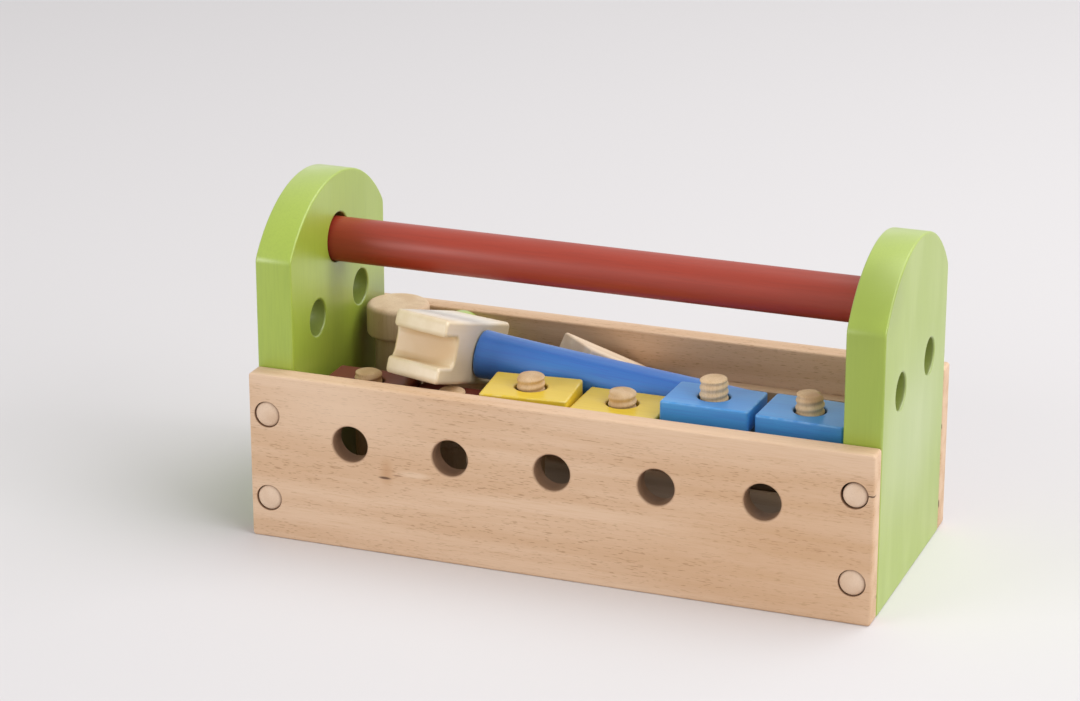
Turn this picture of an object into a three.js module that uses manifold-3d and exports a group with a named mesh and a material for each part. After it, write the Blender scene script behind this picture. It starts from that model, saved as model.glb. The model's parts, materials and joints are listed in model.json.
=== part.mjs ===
// Toy tool box: a beech box with green end panels, a loose turned carrying bar,
// and the wooden hammer, bolts, nuts and slats that lie in it.
// Millimetres, +Z up, X along the box. The origin is at the middle of the underside.
import * as THREE from 'three';
import { mergeVertices } from 'three/addons/utils/BufferGeometryUtils.js';
import Module from 'manifold-3d';

const wasm = await Module();
wasm.setup();

// Fits shared by all pieces
const seatGap = 0.3; // between two pieces that touch
const runningGap = 0.35; // all round a peg in its hole
const cutOverrun = 2; // how far a cutter runs past the face that it opens

// The box
const boxLength = 260;
const boxDepth = 112;
const wallThickness = 9;
const wallHeight = 70;
const floorThickness = 9;
const boardEdge = 0.8; // eased edges of the boards
const panelThickness = 15.5;
const panelCreaseHeight = 115; // where the straight sides end and the arch starts
const panelHeight = 139.5;

// Holes in the box
const boardHoleRadius = 7.5;
const boardHoleHeight = 45;
const boardHolePitch = 43;
const boardHoleCount = 5;
const panelHoleRadius = 7.5;
const panelHoleHeight = 84;
const panelHoleOffset = 21.5;

// Dowel pegs that hold the boards to the end panels
const pegRadius = 5.25;
const pegLength = 30;
const pegProud = 0.5;
const pegDome = 1.2; // height of the domed outer end
const upperPegHeight = 53;
const lowerPegHeight = 17;

// The carrying bar
const barRadius = 9.25;
const barHeight = 111.5;
const barChamfer = 1;
const socketRadius = 10.25;
const socketDepth = 10;
const barEndGap = 0.4;

// Nuts and bolts
const pairCount = 6; // pairs of a nut and a bolt, in a row along the front board
const nutSpacing = 2.1; // least room between neighbouring nuts
const nutThickness = 9.2;
const nutCorner = 1; // rounded upright edges
const nutEdge = 0.8; // eased rims
const nutBoreRadius = 7;
const nutFrontRoom = 9.75; // between the nuts and the front board
const nutHandleGap = 0.35; // between the nuts and the hammer's handle
const threadRadius = 6.1;
const threadDepth = 0.6;
const threadPitch = 3;
const threadLength = 26;
const tipChamfer = 1.2;
const boltHeadRadius = 13;
const boltHeadHeight = 9;
const boltHeadChamfer = 1.5;
const driverSlotWidth = 3;
const driverSlotDepth = 3;
const redBoltGap = 0.36; // between the right red bolt and the hammer head
const redLeftBoltRise = 3.2935; // of its tip over the right red bolt's
const yellowLeftBoltRise = 11.4935; // of its tip over the right red bolt's
const yellowRightBoltLength = 61.5;
const blueLeftBoltLength = 72;
const blueRightBoltLength = 70.8;

// The hammer
const headBackRoom = 16; // between the head's back end and the back board
const headFrontRoom = 0.5; // between the tip of the slotted end and the front board
const headPostGap = 7.8; // between the head and the capped post
const headFrontSkew = 12.4; // how far the slotted end slants back
const headWidth = 26.6;
const headHeight = 26;
const headEdge = 1.6;
const headSlotWidth = 12.1;
const headSlotDepth = 16.6; // from the tip to the slot's floor
const headSlotCorner = 3;
const tenonRadius = 6;
const tenonLength = 20;
const handleLength = 121;
const handleRadius = 9.9;
const handleWaistRadius = 9.4;
const handleEndRadius = 8.6;
const handleEndRound = 5;
const handleHeight = 69.4; // height of the handle's axis where it meets the head
const handleDroop = THREE.MathUtils.degToRad(5.1); // slope down towards the handle's end
const headRoll = THREE.MathUtils.degToRad(18.8); // the slotted end points up and forward

// The turned post with a wide cap
const postWallGap = 1.7; // between the cap and the left end panel
const postBackGap = 7.7; // between the cap and the back board
const postHeight = 77.5;
const capTurning = 4.8; // what turning takes off a side of the nuts' stock
const capOverhang = 3.3; // of the cap over the stem
const capHeight = 14;
const capChamfer = 2.2;

// Loose slats
const slatThickness = 6;
const slatEdge = 0.5;
const slatHeight = 43.8;
const slatWallGap = 0.6; // to the right end panel
const slatPlankGap = 1.1; // to the plank
const stripWidth = 20;
const stripLength = 92;
const stripHoleRadius = 6.8;
const stripHolePitch = 26;
const stripHoleCount = 3;
const stripSlope = THREE.MathUtils.degToRad(34);
const stripEndDistance = 36.5; // from the left end panel to the centre of the raised end
const stripTopHeight = 60;
const plankThickness = 8;
const plankHeadDistance = 25.4; // from the hammer head to the plank's raised corner
const plankCornerHeight = 71.7;
const plankHandleGap = 2.3; // between the front corner and the hammer's handle
const plankSideX = 18.4; // from the raised corner to the front corner
const plankSideRise = 1;
const plankRunX = 29; // from the raised corner to the corner at the back board
const plankRunY = 15.5;
const plankRunDrop = 16.3;
const plankEdge = 0.6;

// Round surfaces
const fineSegments = 36;
const roundSegments = 24;
const smallSegments = 18;
const pegSegments = 16;
const boreSegments = 16;
const threadSegments = 10;
const rowsPerPitch = 4;

// Sizes that follow from the ones above
const innerFaceX = boxLength / 2 - panelThickness;
const innerFaceY = boxDepth / 2 - wallThickness;
const panelMiddleX = boxLength / 2 - panelThickness / 2;
const wallMiddleY = boxDepth / 2 - wallThickness / 2;
const panelHalfDepth = innerFaceY - seatGap;
const floorTop = floorThickness + seatGap;

// The six nuts fill the box's length and lie along the hammer's handle, in front of it
const nutPitch = (2 * innerFaceX) / pairCount;
const nutWidth = nutPitch - nutSpacing;
const nutsBackY = -handleRadius - nutHandleGap;
const nutDepth = innerFaceY - nutFrontRoom + nutsBackY;

// The post stands in the back left corner, with the hammer head beside it
const capRadius = nutWidth / 2 - capTurning;
const postRadius = capRadius - capOverhang;
const postX = capRadius + postWallGap - innerFaceX;
const postY = innerFaceY - postBackGap - capRadius;
const handleMeetsHead = postX + capRadius + headPostGap + headWidth;
const headBack = innerFaceY - headBackRoom; // from the handle's axis
const headFront = innerFaceY - headFrontRoom;
const headSlotFloor = headFront - headSlotDepth;

// The plank and the slats lie behind the hammer's handle
const plankCornerX = handleMeetsHead + plankHeadDistance;
const plankCornerY = innerFaceY - seatGap - plankRunY;
const plankSideY = handleRadius + plankHandleGap - plankCornerY;
const slatStart = plankCornerX + plankSideX + plankRunX + slatPlankGap;
const slatLength = innerFaceX - slatWallGap - slatStart;
const slatY = innerFaceY - seatGap - slatThickness / 2;
const stripTopX = stripEndDistance - innerFaceX;

// The places of the nuts in the row, as shares of the pitch from the box's middle
const placeShares = {
  red_left: -2.402,
  red_right: -1.446,
  yellow_left: -0.53,
  yellow_right: 0.466,
  blue_left: 1.46,
  blue_right: 2.487,
};

// The right red bolt reaches up to the underside of the hammer head
const redBoltForward = nutDepth / 2 - nutsBackY - threadRadius;
const redBoltLeft = handleMeetsHead - placeShares.red_right * nutPitch;
const headUndersideRise = redBoltForward * Math.tan(headRoll) + redBoltLeft * Math.tan(handleDroop);
const headUnderside = handleHeight + headUndersideRise - headHeight / 2 / Math.cos(headRoll);
const redRightBoltLength = headUnderside - redBoltGap - floorTop;
const redLeftBoltLength = redRightBoltLength + redLeftBoltRise;
const yellowLeftBoltLength = redRightBoltLength + yellowLeftBoltRise;

const finishes = {
  beech: { color: 0xd9b593, roughness: 0.6, metalness: 0 },
  palePeg: { color: 0xe5cdb8, roughness: 0.6, metalness: 0 },
  greenLacquer: { color: 0x8dc63f, roughness: 0.4, metalness: 0 },
  redLacquer: { color: 0xa8432f, roughness: 0.4, metalness: 0 },
  yellowLacquer: { color: 0xe2c73a, roughness: 0.4, metalness: 0 },
  blueLacquer: { color: 0x3f83cf, roughness: 0.4, metalness: 0 },
  maple: { color: 0xe8d3a8, roughness: 0.6, metalness: 0 },
};

// Turns a closed geometry into a solid that can be cut and joined
function solidFrom(geometry) {
  const bare = geometry.index ? geometry.toNonIndexed() : geometry.clone();
  bare.deleteAttribute('normal');
  bare.deleteAttribute('uv');
  const merged = mergeVertices(bare);
  return new wasm.Manifold(new wasm.Mesh({
    numProp: 3,
    vertProperties: new Float32Array(merged.attributes.position.array),
    triVerts: new Uint32Array(merged.index.array),
  }));
}

// Turns a solid back into a geometry
function geometryFrom(solid) {
  const mesh = solid.getMesh();
  const geometry = new THREE.BufferGeometry();
  geometry.setAttribute('position', new THREE.BufferAttribute(mesh.vertProperties, 3));
  geometry.setIndex(new THREE.BufferAttribute(mesh.triVerts, 1));
  return geometry;
}

// Cuts each of the cutters out of a blank
function cutAway(blank, cutters) {
  let solid = solidFrom(blank);
  for (const cutter of cutters) {
    solid = solid.subtract(solidFrom(cutter));
  }
  return geometryFrom(solid);
}

function addPiece(parent, name, geometry, finish) {
  const mesh = new THREE.Mesh(geometry, new THREE.MeshStandardMaterial(finishes[finish]));
  mesh.name = name;
  parent.add(mesh);
  return mesh;
}

// A board cut from an outline, centred on its thickness, with eased edges all round
function easedBoard(outline, thickness, edge, curveSegments) {
  const geometry = new THREE.ExtrudeGeometry(outline, {
    depth: thickness - 2 * edge,
    bevelThickness: edge,
    bevelSize: edge,
    bevelOffset: -edge,
    bevelSegments: 1,
    curveSegments,
  });
  return geometry.translate(0, 0, edge - thickness / 2);
}

function rectangle(width, height) {
  const outline = new THREE.Shape();
  outline.moveTo(-width / 2, -height / 2);
  outline.lineTo(width / 2, -height / 2);
  outline.lineTo(width / 2, height / 2);
  outline.lineTo(-width / 2, height / 2);
  outline.closePath();
  return outline;
}

function addRoundHole(outline, x, y, radius) {
  const hole = new THREE.Path();
  hole.absarc(x, y, radius, 0, 2 * Math.PI, true);
  outline.holes.push(hole);
}

// A straight cutter for a round hole, lying along Y and centred on its length
function roundCutter(radius, length, segments) {
  return new THREE.CylinderGeometry(radius, radius, length, segments);
}

// The places of the dowel pegs along the box and up the boards
function pegPlaces() {
  const places = [];
  for (const [side, sideName] of [[-1, 'left'], [1, 'right']]) {
    places.push({ x: side * panelMiddleX, z: upperPegHeight, name: `upper_${sideName}` });
    places.push({ x: side * panelMiddleX, z: lowerPegHeight, name: `lower_${sideName}` });
  }
  return places;
}

// The front and back boards are alike: five open holes and four peg holes
function wallBoardGeometry() {
  const outline = rectangle(boxLength, wallHeight);
  for (let i = 0; i < boardHoleCount; i += 1) {
    const x = (i - (boardHoleCount - 1) / 2) * boardHolePitch;
    addRoundHole(outline, x, boardHoleHeight - wallHeight / 2, boardHoleRadius);
  }
  const board = easedBoard(outline, wallThickness, boardEdge, smallSegments / 2);
  board.rotateX(Math.PI / 2);
  board.translate(0, 0, wallHeight / 2);
  const cutters = pegPlaces().map(({ x, z }) => {
    const length = wallThickness + 2 * cutOverrun;
    return roundCutter(pegRadius + runningGap, length, pegSegments).translate(x, 0, z);
  });
  return cutAway(board, cutters);
}

// An end panel, standing across the box with its inner face towards +X
function endPanelGeometry() {
  const rise = panelHeight - panelCreaseHeight;
  const archRadius = (panelHalfDepth ** 2 + rise ** 2) / (2 * rise);
  const archCentre = panelHeight - archRadius;
  const archAngle = Math.asin(panelHalfDepth / archRadius);
  const outline = new THREE.Shape();
  outline.moveTo(-panelHalfDepth, 0);
  outline.lineTo(panelHalfDepth, 0);
  outline.lineTo(panelHalfDepth, panelCreaseHeight);
  outline.absarc(0, archCentre, archRadius, Math.PI / 2 - archAngle, Math.PI / 2 + archAngle, false);
  outline.closePath();
  for (const side of [-1, 1]) {
    addRoundHole(outline, side * panelHoleOffset, panelHoleHeight, panelHoleRadius);
  }
  const panel = easedBoard(outline, panelThickness, boardEdge, smallSegments / 2);
  panel.rotateX(Math.PI / 2);
  panel.rotateZ(Math.PI / 2);

  const socketHeight = barHeight - barRadius - seatGap + socketRadius;
  const socket = roundCutter(socketRadius, socketDepth + cutOverrun, fineSegments);
  socket.rotateZ(Math.PI / 2);
  socket.translate(panelThickness / 2 - socketDepth / 2 + cutOverrun / 2, 0, socketHeight);
  const cutters = [socket];
  const holeDepth = pegLength - pegProud - wallThickness - seatGap + runningGap;
  for (const side of [-1, 1]) {
    for (const z of [upperPegHeight, lowerPegHeight]) {
      const hole = roundCutter(pegRadius + runningGap, holeDepth + cutOverrun, pegSegments);
      hole.translate(0, side * (panelHalfDepth - holeDepth / 2 + cutOverrun / 2), z);
      cutters.push(hole);
    }
  }
  return cutAway(panel, cutters);
}

// A dowel peg lying along Y, its domed end towards -Y and its origin at the top of the dome
function pegGeometry() {
  const domeRadius = (pegRadius ** 2 + pegDome ** 2) / (2 * pegDome);
  const profile = [new THREE.Vector2(0, 0)];
  const domeSteps = 3;
  for (let i = 1; i <= domeSteps; i += 1) {
    const radius = (pegRadius * i) / domeSteps;
    const depth = domeRadius - Math.sqrt(domeRadius ** 2 - radius ** 2);
    profile.push(new THREE.Vector2(radius, depth));
  }
  profile.push(new THREE.Vector2(pegRadius, pegLength - pegDome));
  profile.push(new THREE.Vector2(pegRadius - pegDome, pegLength));
  profile.push(new THREE.Vector2(0, pegLength));
  return geometryFrom(solidFrom(new THREE.LatheGeometry(profile, pegSegments)));
}

function addBox(parent) {
  for (const [side, name] of [[-1, 'front_board'], [1, 'back_board']]) {
    addPiece(parent, name, wallBoardGeometry(), 'beech').position.y = side * wallMiddleY;
  }
  const left = addPiece(parent, 'left_end_panel', endPanelGeometry(), 'greenLacquer');
  left.position.x = -panelMiddleX;
  const right = addPiece(parent, 'right_end_panel', endPanelGeometry(), 'greenLacquer');
  right.position.x = panelMiddleX;
  right.rotation.z = Math.PI;

  const floorOutline = rectangle(2 * (innerFaceX - seatGap), 2 * (innerFaceY - seatGap));
  const floorBoard = easedBoard(floorOutline, floorThickness, slatEdge, 1);
  addPiece(parent, 'bottom_board', floorBoard, 'beech').position.z = floorThickness / 2;

  for (const [side, name] of [[-1, 'front'], [1, 'back']]) {
    for (const place of pegPlaces()) {
      const peg = addPiece(parent, `${name}_peg_${place.name}`, pegGeometry(), 'palePeg');
      peg.position.set(place.x, side * (boxDepth / 2 + pegProud), place.z);
      peg.rotation.z = side < 0 ? 0 : Math.PI;
    }
  }
}

function addCarryingBar(parent) {
  const halfLength = innerFaceX + socketDepth - barEndGap;
  const profile = [
    new THREE.Vector2(0, -halfLength),
    new THREE.Vector2(barRadius - barChamfer, -halfLength),
    new THREE.Vector2(barRadius, barChamfer - halfLength),
    new THREE.Vector2(barRadius, halfLength - barChamfer),
    new THREE.Vector2(barRadius - barChamfer, halfLength),
    new THREE.Vector2(0, halfLength),
  ];
  const bar = geometryFrom(solidFrom(new THREE.LatheGeometry(profile, fineSegments)));
  const mesh = addPiece(parent, 'carrying_bar', bar, 'redLacquer');
  mesh.rotation.z = Math.PI / 2;
  mesh.position.z = barHeight;
}

// A four-sided nut with a plain bore, lying flat and centred on its thickness
function nutGeometry() {
  const cornerSteps = 3;
  const points = [];
  for (let corner = 0; corner < 4; corner += 1) {
    const middle = Math.PI / 4 + (corner * Math.PI) / 2;
    const centreX = Math.sign(Math.cos(middle)) * (nutWidth / 2 - nutCorner);
    const centreY = Math.sign(Math.sin(middle)) * (nutDepth / 2 - nutCorner);
    for (let i = 0; i <= cornerSteps; i += 1) {
      const angle = (corner + i / cornerSteps) * (Math.PI / 2);
      const x = centreX + nutCorner * Math.cos(angle);
      const y = centreY + nutCorner * Math.sin(angle);
      points.push(new THREE.Vector2(x, y));
    }
  }
  const outline = new THREE.Shape(points);
  addRoundHole(outline, 0, 0, nutBoreRadius);
  return easedBoard(outline, nutThickness, nutEdge, boreSegments / 2);
}

// A turned bolt standing on its slotted head, its upper part threaded by a helical wave:
// the radius at a height and angle is the thread's radius less a share of its depth
function boltGeometry(length) {
  const rowHeight = threadPitch / rowsPerPitch;
  const threadStart = length - threadLength;
  const coreRadius = threadRadius - threadDepth;
  const profile = [
    new THREE.Vector2(0, 0),
    new THREE.Vector2(boltHeadRadius - boltHeadChamfer, 0),
    new THREE.Vector2(boltHeadRadius, boltHeadChamfer),
    new THREE.Vector2(boltHeadRadius, boltHeadHeight - boltHeadChamfer),
    new THREE.Vector2(boltHeadRadius - boltHeadChamfer, boltHeadHeight),
    new THREE.Vector2(coreRadius, boltHeadHeight),
  ];
  for (let z = threadStart; z < length - rowHeight / 2; z += rowHeight) {
    profile.push(new THREE.Vector2(coreRadius, z));
  }
  profile.push(new THREE.Vector2(coreRadius - tipChamfer / 2, length));
  profile.push(new THREE.Vector2(0, length));

  const turned = new THREE.LatheGeometry(profile, threadSegments);
  const points = turned.attributes.position;
  for (let i = 0; i < points.count; i += 1) {
    const x = points.getX(i);
    const z = points.getZ(i);
    const along = points.getY(i);
    const fromEnds = Math.min(along - threadStart, length - along);
    if (fromEnds > 0) {
      const turns = along / threadPitch - Math.atan2(x, z) / (2 * Math.PI);
      const wave = 0.5 - 0.5 * Math.cos(2 * Math.PI * turns);
      const fade = Math.min(1, fromEnds / threadPitch);
      const stretch = 1 + (threadDepth * wave * fade) / coreRadius;
      points.setXYZ(i, x * stretch, along, z * stretch);
    }
  }
  turned.rotateX(Math.PI / 2);

  const slotLength = 2 * (boltHeadRadius + cutOverrun);
  const slot = new THREE.BoxGeometry(slotLength, driverSlotWidth, driverSlotDepth + cutOverrun);
  slot.translate(0, 0, driverSlotDepth / 2 - cutOverrun / 2);
  return cutAway(turned, [slot]);
}

// Each pair: its colour and bolt, how far the nut is screwed down from the bolt's tip, as a share
// of the thread, and how the nut is turned and tilted on its bolt, in degrees
const fastenerPairs = [
  { colour: 'red', side: 'left', bolt: redLeftBoltLength, downShare: 0.165, turn: 0, tilt: 0 },
  { colour: 'red', side: 'right', bolt: redRightBoltLength, downShare: 0.146, turn: 0, tilt: 0 },
  { colour: 'yellow', side: 'left', bolt: yellowLeftBoltLength, downShare: 0.197, turn: 5.6, tilt: 0 },
  { colour: 'yellow', side: 'right', bolt: yellowRightBoltLength, downShare: 0.207, turn: 0, tilt: 0 },
  { colour: 'blue', side: 'left', bolt: blueLeftBoltLength, downShare: 0.315, turn: 0, tilt: 2 },
  { colour: 'blue', side: 'right', bolt: blueRightBoltLength, downShare: 0.28, turn: -2.1, tilt: 0 },
];

function addFasteners(parent) {
  for (const pair of fastenerPairs) {
    const name = `${pair.colour}_${pair.side}`;
    const turn = THREE.MathUtils.degToRad(pair.turn);
    const tilt = THREE.MathUtils.degToRad(pair.tilt);
    const turnedReach = (nutDepth / 2) * Math.cos(turn) + (nutWidth / 2) * Math.abs(Math.sin(turn));
    const reach = turnedReach * Math.cos(tilt) + (nutThickness / 2) * Math.sin(tilt);
    const x = placeShares[name] * nutPitch;
    const y = nutsBackY - reach;
    const nutTop = floorTop + pair.bolt - pair.downShare * threadLength;
    const nut = addPiece(parent, `${name}_nut`, nutGeometry(), `${pair.colour}Lacquer`);
    nut.position.set(x, y, nutTop - nutThickness / 2);
    nut.rotation.order = 'ZXY';
    nut.rotation.z = turn;
    nut.rotation.x = -tilt;
    const bolt = addPiece(parent, `${name}_bolt`, boltGeometry(pair.bolt), 'palePeg');
    bolt.position.set(x, y, floorTop);
  }
}

// The hammer head in the handle's frame: +X along the handle, -Y towards the slotted end
function hammerHeadGeometry() {
  const outline = new THREE.Shape();
  outline.moveTo(0, -headFront);
  outline.lineTo(0, headBack);
  outline.lineTo(-headWidth, headBack);
  outline.lineTo(-headWidth, headFrontSkew - headFront);
  outline.closePath();
  const blank = easedBoard(outline, headHeight, headEdge, 1);

  const slotEnd = headFront + cutOverrun;
  const straight = headSlotWidth / 2 - headSlotCorner;
  const cornerCentre = headSlotFloor + headSlotCorner;
  const slotOutline = new THREE.Shape();
  slotOutline.moveTo(slotEnd, -headSlotWidth / 2);
  slotOutline.lineTo(slotEnd, headSlotWidth / 2);
  slotOutline.absarc(cornerCentre, straight, headSlotCorner, Math.PI / 2, Math.PI, false);
  slotOutline.absarc(cornerCentre, -straight, headSlotCorner, Math.PI, 1.5 * Math.PI, false);
  slotOutline.closePath();
  const slot = new THREE.ExtrudeGeometry(slotOutline, {
    depth: headWidth + 2 * cutOverrun,
    bevelEnabled: false,
    curveSegments: 4,
  });
  const forward = new THREE.Vector3(0, -1, 0);
  const up = new THREE.Vector3(0, 0, 1);
  const towardsFarSide = new THREE.Vector3(-1, 0, 0);
  slot.applyMatrix4(new THREE.Matrix4().makeBasis(forward, up, towardsFarSide));
  slot.translate(cutOverrun, 0, 0);

  const socket = roundCutter(tenonRadius + runningGap, tenonLength + runningGap + cutOverrun, smallSegments);
  socket.rotateZ(Math.PI / 2);
  socket.translate((cutOverrun - tenonLength - runningGap) / 2, 0, 0);
  return cutAway(blank, [slot, socket]);
}

// The turned handle along +X: a tenon, a shoulder against the head, a slim waist and a round end
function hammerHandleGeometry() {
  const roundSteps = 5;
  const profile = [
    new THREE.Vector2(0, -tenonLength),
    new THREE.Vector2(tenonRadius, -tenonLength),
    new THREE.Vector2(tenonRadius, seatGap),
    new THREE.Vector2(handleRadius, seatGap),
  ];
  const swellSteps = 8;
  const bodyEnd = handleLength - handleEndRound;
  for (let i = 1; i <= swellSteps; i += 1) {
    const share = i / swellSteps;
    const dip = Math.sin(Math.PI * share) * (handleRadius - handleWaistRadius) * (1 - share);
    const radius = THREE.MathUtils.lerp(handleRadius, handleEndRadius, share) - dip;
    profile.push(new THREE.Vector2(radius, bodyEnd * share));
  }
  for (let i = 1; i <= roundSteps; i += 1) {
    const angle = (Math.PI / 2) * (i / roundSteps);
    const flat = handleEndRadius - handleEndRound;
    const radius = flat + handleEndRound * Math.cos(angle);
    profile.push(new THREE.Vector2(radius, bodyEnd + handleEndRound * Math.sin(angle)));
  }
  profile.push(new THREE.Vector2(0, handleLength));
  const handle = new THREE.LatheGeometry(profile, roundSegments);
  handle.rotateZ(-Math.PI / 2);
  return geometryFrom(solidFrom(handle));
}

function addHammer(parent) {
  const hammer = new THREE.Group();
  hammer.rotation.order = 'YXZ';
  hammer.rotation.set(-headRoll, handleDroop, 0);
  hammer.position.set(handleMeetsHead, 0, handleHeight);
  parent.add(hammer);
  addPiece(hammer, 'hammer_head', hammerHeadGeometry(), 'maple');
  addPiece(hammer, 'hammer_handle', hammerHandleGeometry(), 'blueLacquer');
}

function addCappedPost(parent) {
  const top = postHeight - floorTop;
  const underCap = top - capHeight;
  const profile = [
    new THREE.Vector2(0, 0),
    new THREE.Vector2(postRadius, 0),
    new THREE.Vector2(postRadius, underCap),
    new THREE.Vector2(capRadius - capChamfer, underCap),
    new THREE.Vector2(capRadius, underCap + capChamfer),
    new THREE.Vector2(capRadius, top - capChamfer),
    new THREE.Vector2(capRadius - capChamfer, top),
    new THREE.Vector2(0, top),
  ];
  const post = new THREE.LatheGeometry(profile, roundSegments);
  post.rotateX(Math.PI / 2);
  const mesh = addPiece(parent, 'capped_post', geometryFrom(solidFrom(post)), 'palePeg');
  mesh.position.set(postX, postY, floorTop);
}

// A slat standing on its long edge by the back board
function addEdgeSlat(parent) {
  const slat = easedBoard(rectangle(slatLength, slatHeight), slatThickness, slatEdge, 1);
  slat.rotateX(Math.PI / 2);
  const mesh = addPiece(parent, 'edge_slat', slat, 'palePeg');
  const x = innerFaceX - slatWallGap - slatLength / 2;
  mesh.position.set(x, slatY, floorTop + slatHeight / 2);
}

// A round-ended strip with holes, leaning along the back board
function addGreenStrip(parent) {
  const radius = stripWidth / 2;
  const straight = stripLength / 2 - radius;
  const outline = new THREE.Shape();
  outline.absarc(straight, 0, radius, -Math.PI / 2, Math.PI / 2, false);
  outline.absarc(-straight, 0, radius, Math.PI / 2, 1.5 * Math.PI, false);
  outline.closePath();
  for (let i = 0; i < stripHoleCount; i += 1) {
    addRoundHole(outline, (i - (stripHoleCount - 1) / 2) * stripHolePitch, 0, stripHoleRadius);
  }
  const strip = easedBoard(outline, slatThickness, slatEdge, smallSegments / 2);
  strip.translate(straight, 0, 0);
  strip.rotateX(Math.PI / 2);
  const mesh = addPiece(parent, 'green_strip', strip, 'greenLacquer');
  mesh.position.set(stripTopX, innerFaceY - seatGap - slatThickness / 2, stripTopHeight);
  mesh.rotation.y = stripSlope;
}

// A small plank with a slanting end, leaning between the back board and the hammer's handle:
// its upper face is the parallelogram between two sides that leave its raised corner
function addPlank(parent) {
  const side = new THREE.Vector3(plankSideX, plankSideY, plankSideRise);
  const run = new THREE.Vector3(plankRunX, plankRunY, -plankRunDrop);
  const alongRun = run.clone().normalize();
  const upFromFace = new THREE.Vector3().crossVectors(side, run).normalize();
  const acrossFace = new THREE.Vector3().crossVectors(upFromFace, alongRun);
  const sideAlong = side.dot(alongRun);
  const sideAcross = side.dot(acrossFace);
  const outline = new THREE.Shape();
  outline.moveTo(0, 0);
  outline.lineTo(sideAlong, sideAcross);
  outline.lineTo(sideAlong + run.length(), sideAcross);
  outline.lineTo(run.length(), 0);
  outline.closePath();
  const plank = easedBoard(outline, plankThickness, plankEdge, 1);
  plank.translate(0, 0, -plankThickness / 2);
  const mesh = addPiece(parent, 'slanted_plank', plank, 'palePeg');
  mesh.quaternion.setFromRotationMatrix(new THREE.Matrix4().makeBasis(alongRun, acrossFace, upFromFace));
  mesh.position.set(plankCornerX, plankCornerY, plankCornerHeight);
}

const toolBox = new THREE.Group();
addBox(toolBox);
addCarryingBar(toolBox);
addFasteners(toolBox);
addHammer(toolBox);
addCappedPost(toolBox);
addEdgeSlat(toolBox);
addGreenStrip(toolBox);
addPlank(toolBox);

export default toolBox;
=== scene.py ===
"""Looks of a wooden toy tool box and of the tools in it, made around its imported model.

Lengths in the classes are millimetres in the model's own frame: X along the box, Y from the
front board to the back board, Z up. MM turns them to metres where a mesh or a pattern is made.
"""

import json
import logging
import math
from dataclasses import dataclass
from enum import Enum
from functools import cache
from itertools import product

import bmesh
import bpy
import numpy as np
from mathutils import Matrix, Vector
from mathutils.geometry import delaunay_2d_cdt

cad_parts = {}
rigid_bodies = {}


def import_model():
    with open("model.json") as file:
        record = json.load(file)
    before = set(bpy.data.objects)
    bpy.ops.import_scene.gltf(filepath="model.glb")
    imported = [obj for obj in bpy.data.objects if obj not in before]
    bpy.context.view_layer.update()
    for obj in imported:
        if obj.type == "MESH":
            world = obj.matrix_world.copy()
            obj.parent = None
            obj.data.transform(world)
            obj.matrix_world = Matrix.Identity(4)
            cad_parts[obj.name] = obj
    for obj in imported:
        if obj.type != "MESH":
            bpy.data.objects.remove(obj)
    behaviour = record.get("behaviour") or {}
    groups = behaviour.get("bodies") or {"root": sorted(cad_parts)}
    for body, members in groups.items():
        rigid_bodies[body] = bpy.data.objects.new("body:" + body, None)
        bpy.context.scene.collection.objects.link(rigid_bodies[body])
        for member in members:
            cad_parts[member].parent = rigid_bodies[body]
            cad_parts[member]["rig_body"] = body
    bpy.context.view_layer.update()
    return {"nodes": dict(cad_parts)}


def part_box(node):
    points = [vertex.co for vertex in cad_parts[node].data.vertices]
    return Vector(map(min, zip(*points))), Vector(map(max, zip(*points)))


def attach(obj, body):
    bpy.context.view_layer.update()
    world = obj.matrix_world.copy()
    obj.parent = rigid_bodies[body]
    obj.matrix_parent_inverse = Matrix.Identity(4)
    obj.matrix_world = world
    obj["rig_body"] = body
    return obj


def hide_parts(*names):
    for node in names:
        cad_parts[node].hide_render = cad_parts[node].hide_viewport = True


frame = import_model()

Tree = bpy.types.NodeTree
Socket = bpy.types.NodeSocket
Triple = tuple[float, float, float]

MM = 0.001
X, Y, Z = np.eye(3)
ARC_ERROR = 0.012  # how far a chord may lie inside its arc
ARC_CHORDS = 4  # the fewest in an arc
EASING_POINTS = 5  # over the quarter circle of an eased rim
WELD = 0.002  # points closer than this are one point
SHARP_ANGLE = math.radians(38)  # edges that turn more than this stay crisp
WALLS = {"front": -1, "back": 1}  # the side of the box that each lies on
LEVELS = ("lower", "upper")
ENDS = ("left", "right")
LOG = logging.getLogger("tool_box")


def linear(colour: str) -> tuple[float, float, float, float]:
    """Turns an sRGB hex colour to linear light.

    Args:
        colour: the colour, such as "#D6B69A".

    Returns:
        Red, green and blue from 0 to 1, and a full alpha.
    """
    shares = [int(colour[place : place + 2], 16) / 255 for place in (1, 3, 5)]
    red, green, blue = (s / 12.92 if s <= 0.04045 else ((s + 0.055) / 1.055) ** 2.4 for s in shares)
    return red, green, blue, 1.0


def add_node(tree: Tree, kind: str, inputs: dict | None = None, **settings) -> bpy.types.Node:
    """Adds a node with its settings and links.

    Args:
        tree: the tree that takes the node.
        kind: the node's type name.
        inputs: by an input's name or number, its value or the output that feeds it.
        **settings: the node's own properties.

    Returns:
        The new node.
    """
    node = tree.nodes.new(kind)
    for name, value in settings.items():
        setattr(node, name, value)
    for key, value in (inputs or {}).items():
        if isinstance(value, Socket):
            tree.links.new(value, node.inputs[key])
        else:
            node.inputs[key].default_value = value
    return node


def empty_tree(owner: bpy.types.Material | bpy.types.World) -> Tree:
    """Gives the empty node tree of a new material or world."""
    owner.use_nodes = True
    owner.node_tree.nodes.clear()
    return owner.node_tree


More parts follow.
